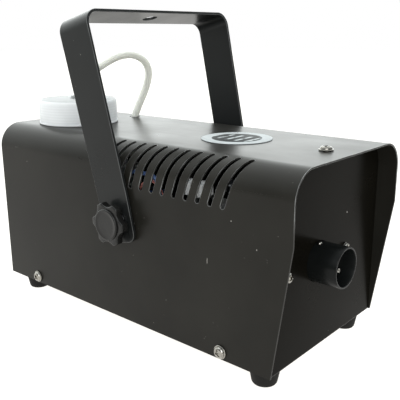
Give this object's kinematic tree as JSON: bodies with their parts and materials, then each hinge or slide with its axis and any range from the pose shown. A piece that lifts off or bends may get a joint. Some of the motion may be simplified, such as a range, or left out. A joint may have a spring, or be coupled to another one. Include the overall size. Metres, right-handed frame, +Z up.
{
  "type": "fog machine",
  "caption": "Small mains fog machine: folded steel case with vent slots, swinging strap handle with clamp knobs, bottle tank with screw cap, pump, heater and front nozzle.",
  "frame": {"origin": "on the surface the feet stand on, under the middle of the bounding box", "axes": "-Y is the front, where the nozzle points; +X is to the right seen from the front; +Z is up"},
  "size_m": [0.1412, 0.2572, 0.2025],
  "materials": {
    "black_paint": "satin powder coat",
    "black_plastic": "satin moulded",
    "blue_pvc": "wire sleeve",
    "cast_aluminium": "as cast",
    "coil_tape": "winding tape",
    "milky_plastic": "translucent milky polyethylene",
    "nickel": "nickel plated",
    "red_silicone": "wire sleeve",
    "rocker_red": "translucent red",
    "rubber": "matt",
    "sticker": "printed film",
    "white_plastic": "moulded",
    "zinc": "zinc plated"
  },
  "bodies": {
    "base": {"blue_wire": "blue_pvc", "chassis": "black_paint", "delivery_tube": "milky_plastic", "feed_hose": "milky_plastic", "foot_front_left": "rubber", "foot_front_right": "rubber", "foot_rear_left": "rubber", "foot_rear_right": "rubber", "foot_screw_front_left": "zinc", "foot_screw_front_right": "zinc", "foot_screw_rear_left": "zinc", "foot_screw_rear_right": "zinc", "friction_washer_left": "rubber", "friction_washer_right": "rubber", "heater_block": "cast_aluminium", "heater_bracket_front": "zinc", "heater_bracket_rear": "zinc", "heater_screw_left": "nickel", "heater_screw_right": "nickel", "hood": "black_paint", "intake_filter": "white_plastic", "mains_inlet": "black_plastic", "nozzle_set_screw": "nickel", "nozzle_tip": "nickel", "nozzle_tube": "black_paint", "pivot_nut_left": "zinc", "pivot_nut_right": "zinc", "pump_body": "white_plastic", "pump_coil": "coil_tape", "pump_mount": "zinc", "pump_spring": "zinc", "pump_yoke": "zinc", "red_wire": "red_silicone", "remote_socket": "black_plastic", "side_screw_front_left": "nickel", "side_screw_front_right": "nickel", "side_screw_rear_left": "nickel", "side_screw_rear_right": "nickel", "switch_body": "black_plastic", "tank": "milky_plastic", "tank_bracket": "zinc", "terminal_block": "white_plastic", "terminal_bracket": "zinc", "thermal_cutout": "black_plastic", "thermostat": "black_plastic", "top_screw": "nickel", "top_sticker": "sticker"},
    "handle": {"handle": "black_paint"},
    "knob_washer_left": {"knob_washer_left": "zinc"},
    "knob_left": {"knob_left": "black_plastic", "knob_stud_left": "zinc"},
    "knob_washer_right": {"knob_washer_right": "zinc"},
    "knob_right": {"knob_right": "black_plastic", "knob_stud_right": "zinc"},
    "cap_gasket": {"cap_gasket": "rubber"},
    "tank_cap": {"tank_cap": "milky_plastic"},
    "switch_rocker": {"switch_rocker": "rocker_red"},
    "pump_plunger": {"pump_plunger": "zinc"}
  },
  "joints": [
    {"name": "handle_swing", "type": "hinge", "parent": "base", "child": "handle", "pos_m": [0, 0.0008, 0.0773], "axis": [1, 0, 0], "range_deg": [-15, 73.4]},
    {"name": "knob_left_travel", "type": "slide", "parent": "base", "child": "knob_washer_left", "axis": [-1, 0, 0], "range_m": [0, 0.001]},
    {"name": "knob_left_turn", "type": "hinge", "parent": "knob_washer_left", "child": "knob_left", "pos_m": [-0.0665, 0.0008, 0.0773], "axis": [-1, 0, 0], "range_deg": [0, 360]},
    {"name": "knob_right_travel", "type": "slide", "parent": "base", "child": "knob_washer_right", "axis": [1, 0, 0], "range_m": [0, 0.001]},
    {"name": "knob_right_turn", "type": "hinge", "parent": "knob_washer_right", "child": "knob_right", "pos_m": [0.0665, 0.0008, 0.0773], "axis": [1, 0, 0], "range_deg": [0, 360]},
    {"name": "cap_lift", "type": "slide", "parent": "base", "child": "cap_gasket", "axis": [0, 0, 1], "range_m": [0, 0.003]},
    {"name": "cap_turn", "type": "hinge", "parent": "cap_gasket", "child": "tank_cap", "pos_m": [-0.0137, 0.0927, 0.134], "axis": [0, 0, 1], "range_deg": [0, 360]},
    {"name": "switch_rock", "type": "hinge", "parent": "base", "child": "switch_rocker", "pos_m": [0.0405, 0.12375, 0.095], "axis": [1, 0, 0], "range_deg": [0, 24]},
    {"name": "pump_stroke", "type": "slide", "parent": "base", "child": "pump_plunger", "axis": [0, 0, 1], "range_m": [-0.0025, 0.001], "stiffness_N_per_m": 800, "deforming": ["pump_spring"]}
  ],
  "couplings": [
    {"joint": "knob_left_travel", "follows": "knob_left_turn", "m_per_rad": 0.00015915},
    {"joint": "knob_right_travel", "follows": "knob_right_turn", "m_per_rad": 0.00015915},
    {"joint": "cap_lift", "follows": "cap_turn", "m_per_rad": 0.00047746}
  ]
}
